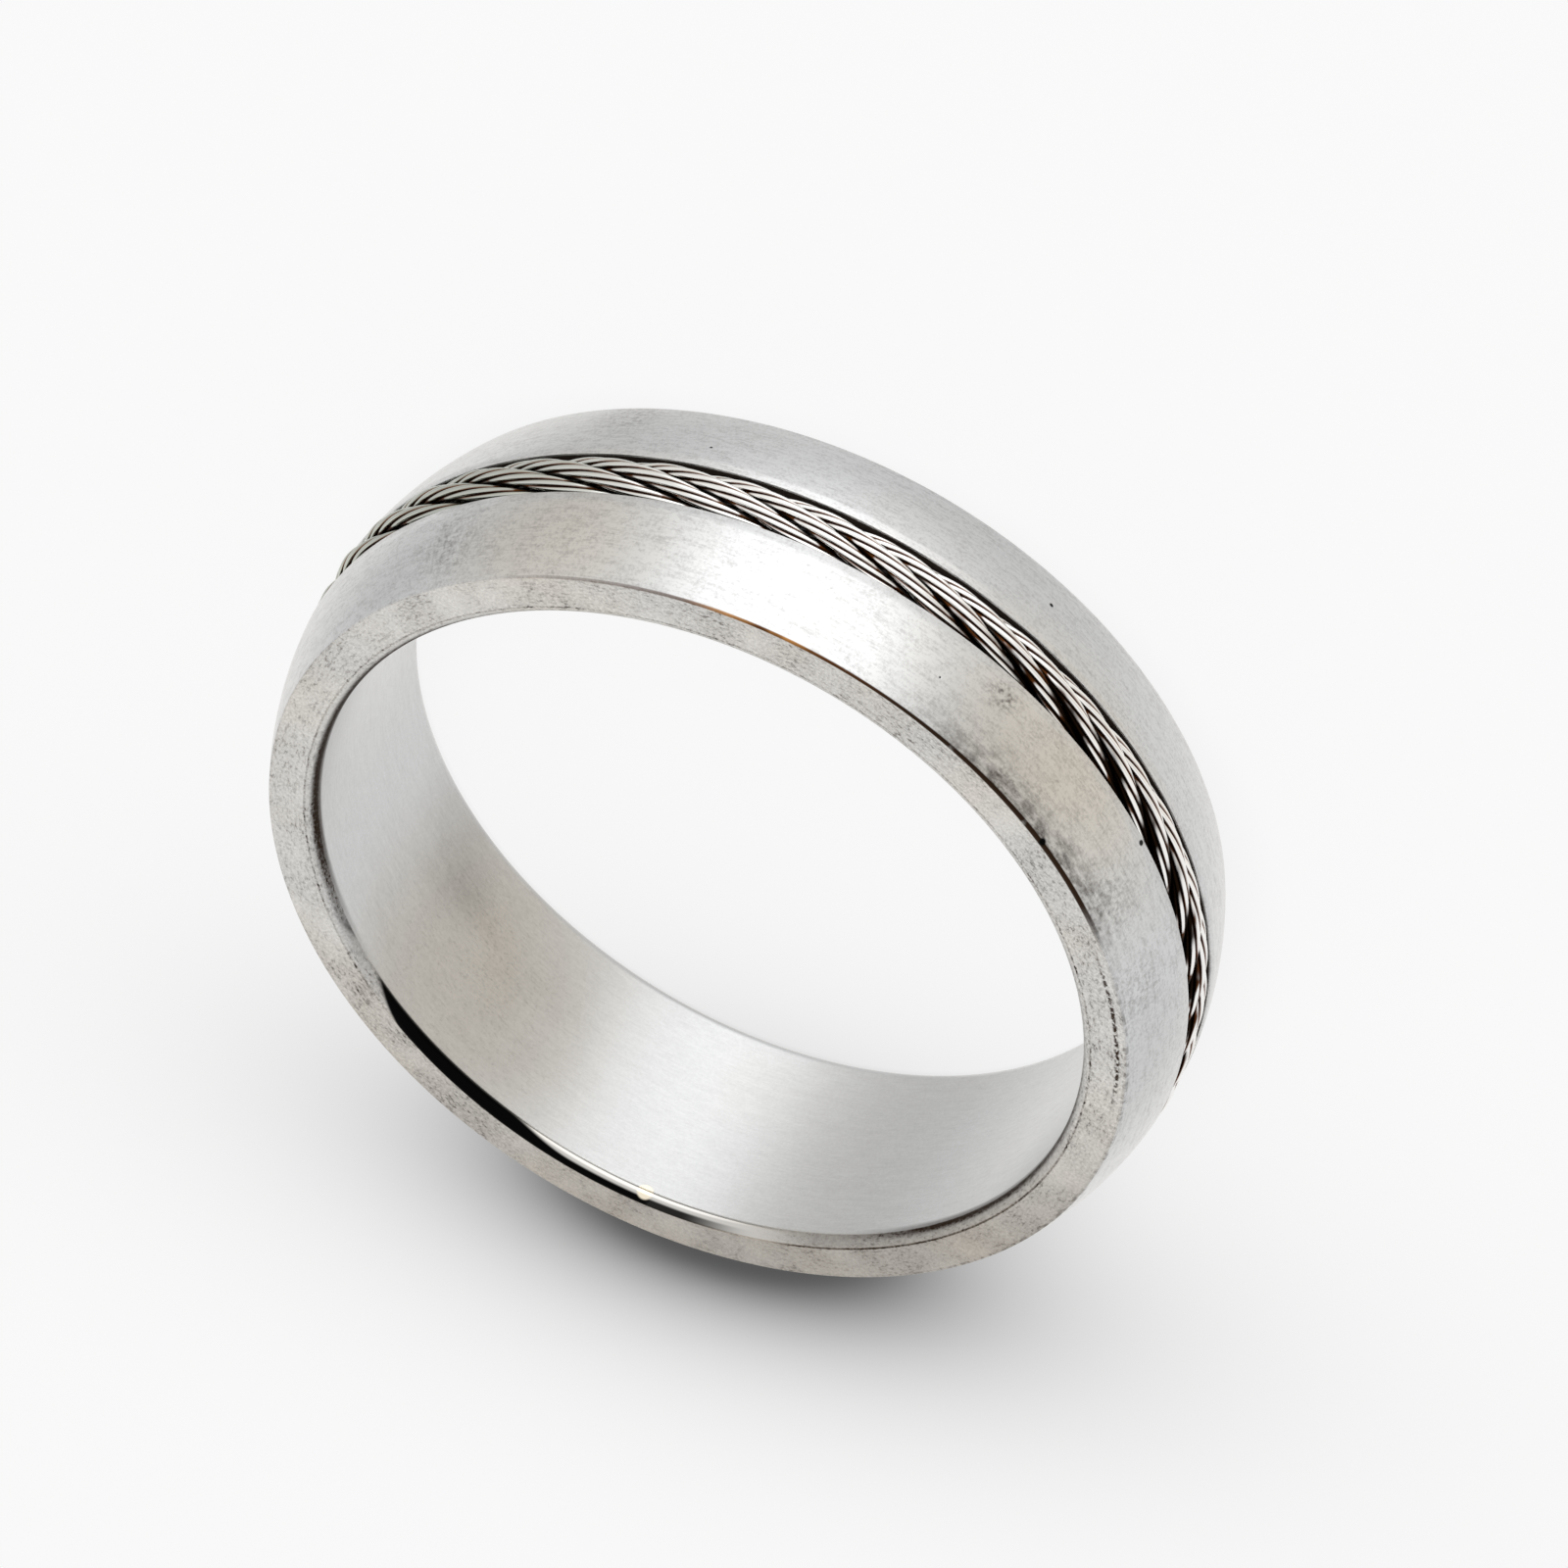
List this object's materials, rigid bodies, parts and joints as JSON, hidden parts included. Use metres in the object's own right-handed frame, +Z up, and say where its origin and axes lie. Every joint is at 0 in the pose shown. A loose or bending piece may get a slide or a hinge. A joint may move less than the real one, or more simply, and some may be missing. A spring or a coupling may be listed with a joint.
{
  "type": "rope twist ring",
  "caption": "Finger ring: a low domed band with a twisted wire rope laid in a groove round the outside.",
  "frame": {"origin": "centre of the ring's lower flat side, on the floor", "axes": "+Z up along the finger hole, -Y towards the front"},
  "size_m": [0.023, 0.0234, 0.006],
  "materials": {
    "band": "satin, brushed round the band",
    "rope": "bright drawn wire"
  },
  "bodies": {
    "root": {"band": "band", "rope_core": "rope", "rope_strand_1": "rope", "rope_strand_2": "rope", "rope_strand_3": "rope", "rope_strand_4": "rope", "rope_strand_5": "rope", "rope_strand_6": "rope"}
  },
  "joints": []
}
